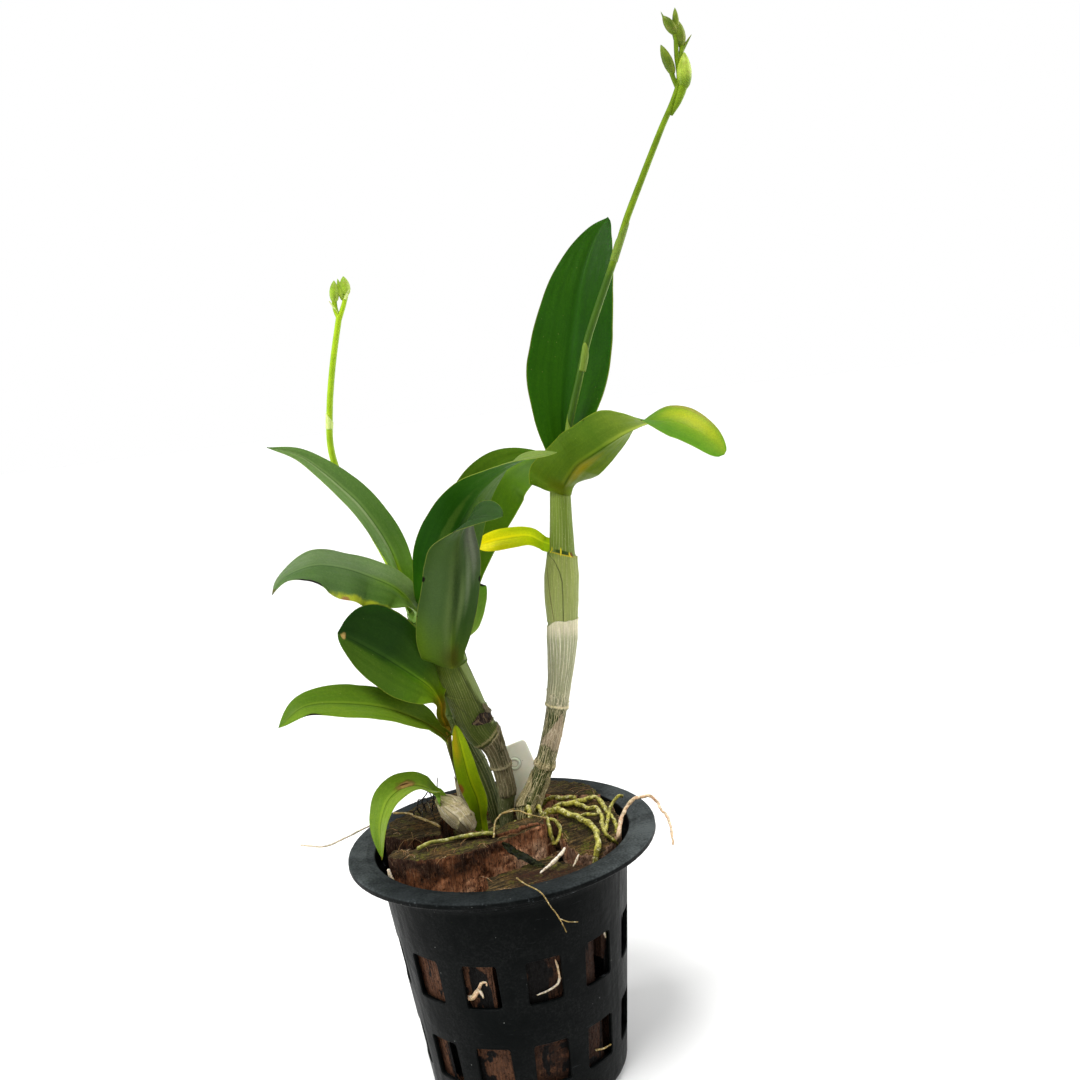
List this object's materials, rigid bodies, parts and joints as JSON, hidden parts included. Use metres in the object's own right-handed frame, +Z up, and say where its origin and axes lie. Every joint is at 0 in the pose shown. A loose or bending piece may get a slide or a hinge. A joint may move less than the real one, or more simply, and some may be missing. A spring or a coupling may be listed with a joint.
{
  "type": "dendrobium orchid",
  "caption": "Young dendrobium orchid with upright canes, folded green leaves and two budding flower spikes, standing in coconut husk in a round black net pot with windows in its wall.",
  "frame": {"origin": "centre of the pot's flat underside", "axes": "+Z up along the pot's axis, -Y to the front, where the arching leaf of the tall cane points"},
  "size_m": [0.1489, 0.0997, 0.3235],
  "materials": {
    "pot": "matte black moulded plastic",
    "husk": "rough coconut husk",
    "cane": "ribbed green stem",
    "sheath": "dry papery sheath",
    "leaf": "satin leaf",
    "young_leaf": "satin yellow-green leaf",
    "spike": "satin green stalk",
    "root": "matte velvety root",
    "root_tip": "matte pale root",
    "label": "plain pale plastic"
  },
  "bodies": {
    "root": {"pot": "pot", "husk_back": "husk", "husk_back_left": "husk", "husk_centre": "husk", "husk_front": "husk", "husk_front_left": "husk", "husk_front_right": "husk", "husk_left": "husk", "husk_low_1": "husk", "husk_low_2": "husk", "husk_low_3": "husk", "husk_low_4": "husk", "husk_mid_1": "husk", "husk_mid_2": "husk", "husk_mid_3": "husk", "husk_mid_4": "husk", "husk_mid_5": "husk", "husk_right": "husk", "cane_left": "cane", "cane_middle": "cane", "cane_tall": "cane", "bulb_small": "sheath", "cane_slender": "sheath", "leaf_left_lowest": "leaf", "leaf_left_mid": "leaf", "leaf_left_round": "leaf", "leaf_left_upper": "leaf", "leaf_low_arch": "leaf", "leaf_mid_back_left": "leaf", "leaf_mid_back_right": "leaf", "leaf_mid_cut": "leaf", "leaf_mid_front": "leaf", "leaf_tall_front": "leaf", "leaf_tall_upright": "leaf", "leaf_shoot": "young_leaf", "leaf_tall_yellow": "young_leaf", "spike_left": "spike", "spike_tall": "spike", "rhizome_roots": "root", "root_on_front_husk": "root", "root_on_left_husk": "root", "root_wiry": "root", "root_over_front_rim": "root_tip", "root_thread": "root_tip", "root_tip_front": "root_tip", "root_tip_left": "root_tip", "root_tip_right": "root_tip", "plant_label": "label"}
  },
  "joints": []
}
